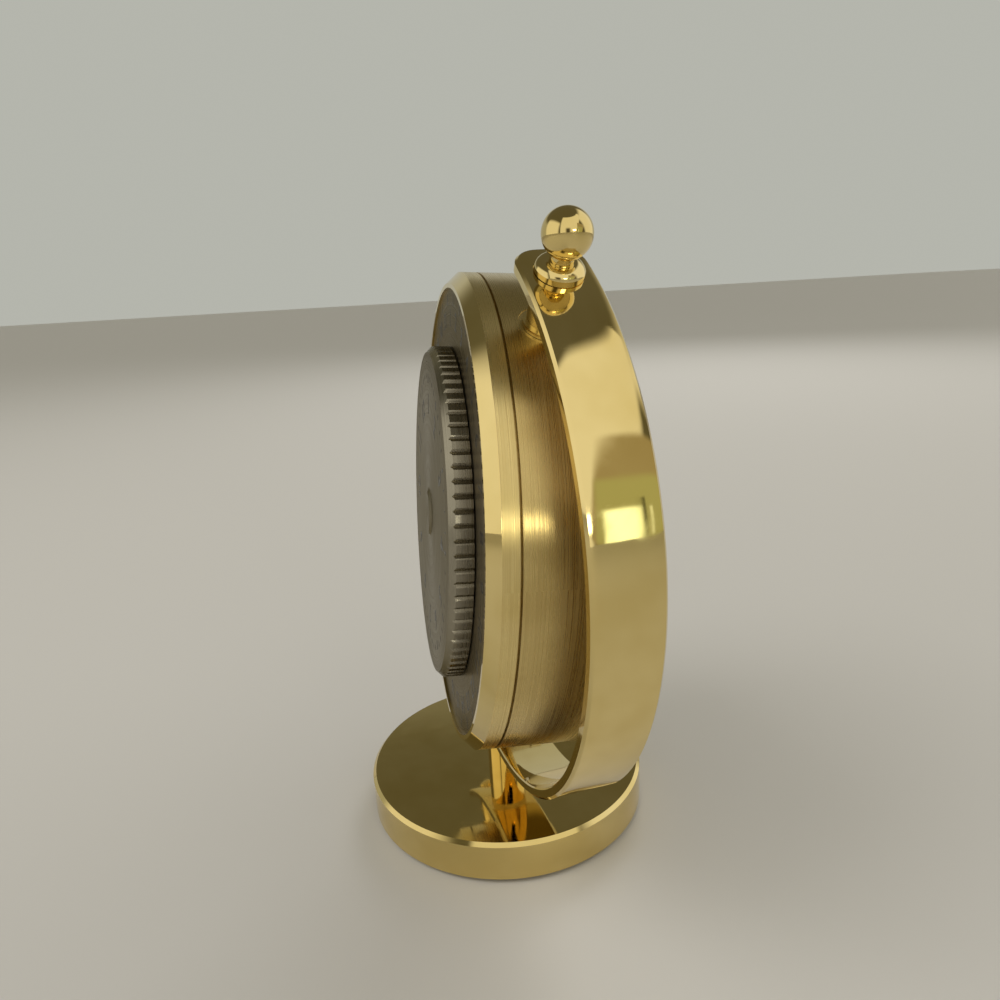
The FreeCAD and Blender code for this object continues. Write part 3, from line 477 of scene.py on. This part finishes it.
def panel(g, level, where, azimuth, elevation, wide, tall, roll, soft, tone):
    """Lay one soft-edged panel over the sky's tones: its half sizes and edge are in tangents."""
    aim = Vector((math.cos(elevation) * math.cos(azimuth), math.cos(elevation) * math.sin(azimuth),
                  math.sin(elevation)))
    side = aim.cross(Vector((0, 0, 1))).normalized()
    top = side.cross(aim)
    across = math.cos(roll) * side + math.sin(roll) * top
    along = math.cos(roll) * top - math.sin(roll) * side
    ahead = g.math("MAXIMUM", g.vector("DOT_PRODUCT", where, tuple(aim)), 0.05)
    share = g.span(ahead, 0.05, 0.10)
    for axis, half in ((across, wide), (along, tall)):
        reach = g.math("ABSOLUTE", g.math("DIVIDE", g.vector("DOT_PRODUCT", where, tuple(axis)), ahead))
        share = g.math("MULTIPLY", share, g.span(reach, half - soft, half + soft, 1.0, 0.0))
    return g.mix(share, level, tone)


def world():
    """The studio's walls and its soft windows."""
    g = Graph("studio", of_world=True)
    bpy.context.scene.world = g.owner
    where = g.vector("NORMALIZE", g.add("ShaderNodeTexCoord").outputs["Generated"])
    parts = g.add("ShaderNodeSeparateXYZ", {"Vector": where})
    away = g.span(parts.outputs["X"], -0.55, 0.15)
    level = g.mix(away, rgb(0.46, 0.465, 0.415), rgb(0.12, 0.11, 0.08))
    level = g.mix(g.span(parts.outputs["Z"], 0.38, 0.56), level, rgb(0.13, 0.12, 0.08))
    for azimuth, elevation, wide, tall, roll, soft, tone in windows:
        level = panel(g, level, where, math.radians(azimuth), math.radians(elevation), wide, tall,
                      math.radians(roll), soft, tone)
    level = g.mix(g.span(parts.outputs["Z"], 0.868, 0.900), level, rgb(0.13, 0.12, 0.085))
    shade = g.add("ShaderNodeBackground", {"Color": level, "Strength": 1.0})
    g.feed(g.output.inputs["Surface"], shade.outputs[0])


# Each window: azimuth, elevation and roll in degrees, half sizes and edge in tangents
windows = (
    (-12, 25, 0.70, 2.20, 20, 0.07, rgb(0.93, 0.90, 0.80)),
    (-92, 12, 0.62, 0.60, 0, 0.14, rgb(0.95, 0.92, 0.82)),
    (-18, 0, 0.16, 0.30, 0, 0.10, rgb(0.10, 0.09, 0.065)),
    (34, 12, 0.26, 0.33, 28, 0.03, rgb(0.40, 0.34, 0.21)),
    (32, 8, 0.22, 0.19, 14, 0.03, rgb(0.46, 0.47, 0.24)),
    (24, 4, 0.030, 0.11, 4, 0.015, rgb(2.0, 2.2, 1.7)),
    (26.6, 6, 0.006, 0.12, 4, 0.004, rgb(0.12, 0.12, 0.06)),
    (29, 5, 0.014, 0.08, 4, 0.008, rgb(0.95, 1.0, 0.75)),
    (9, 7.5, 0.10, 0.05, 0, 0.02, rgb(9.0, 8.8, 7.4)),
    (88, 26, 0.58, 0.60, 0, 0.15, rgb(0.93, 0.91, 0.84)),
)


def softbox(name, place, side, power):
    light = bpy.data.lights.new(name, "AREA")
    light.size = side
    light.energy = power
    lamp = bpy.data.objects.new(name, light)
    bpy.context.scene.collection.objects.link(lamp)
    lamp.location = place
    lamp.rotation_euler = (lamp_target - lamp.location).to_track_quat("-Z", "Y").to_euler()
    lamp.visible_glossy = False


def camera():
    """The photograph's view: place, direction and roll fitted to the part's outline."""
    place = (0.127149, -0.034064, 0.096202)
    azimuth, elevation, roll = 0.274807, 0.267910, -0.056913
    sensor_width = 36.0
    focal_share = 0.751
    ahead = Vector((-math.cos(elevation) * math.cos(azimuth),
                    math.cos(elevation) * math.sin(azimuth), -math.sin(elevation)))
    side = ahead.cross(Vector((0, 0, 1))).normalized()
    top = side.cross(ahead)
    right = math.cos(roll) * side + math.sin(roll) * top
    up = -math.sin(roll) * side + math.cos(roll) * top
    data = bpy.data.cameras.new("camera")
    data.sensor_width = sensor_width
    data.lens = sensor_width * focal_share
    data.clip_start = 0.005
    data.clip_end = 50.0
    eye = bpy.data.objects.new("camera", data)
    bpy.context.scene.collection.objects.link(eye)
    turn = Matrix((right, up, -ahead)).transposed()
    eye.matrix_world = Matrix.Translation(place) @ turn.to_4x4()
    bpy.context.scene.camera = eye


floor()
world()
lamp_target = Vector((0.01, 0.0, 0.05))
softbox("key", (0.10, -0.60, 0.85), 0.50, 2.8)
softbox("back", (-0.70, 0.50, 0.70), 0.45, 3.0)
camera()
bpy.context.scene.view_settings.view_transform = "Standard"
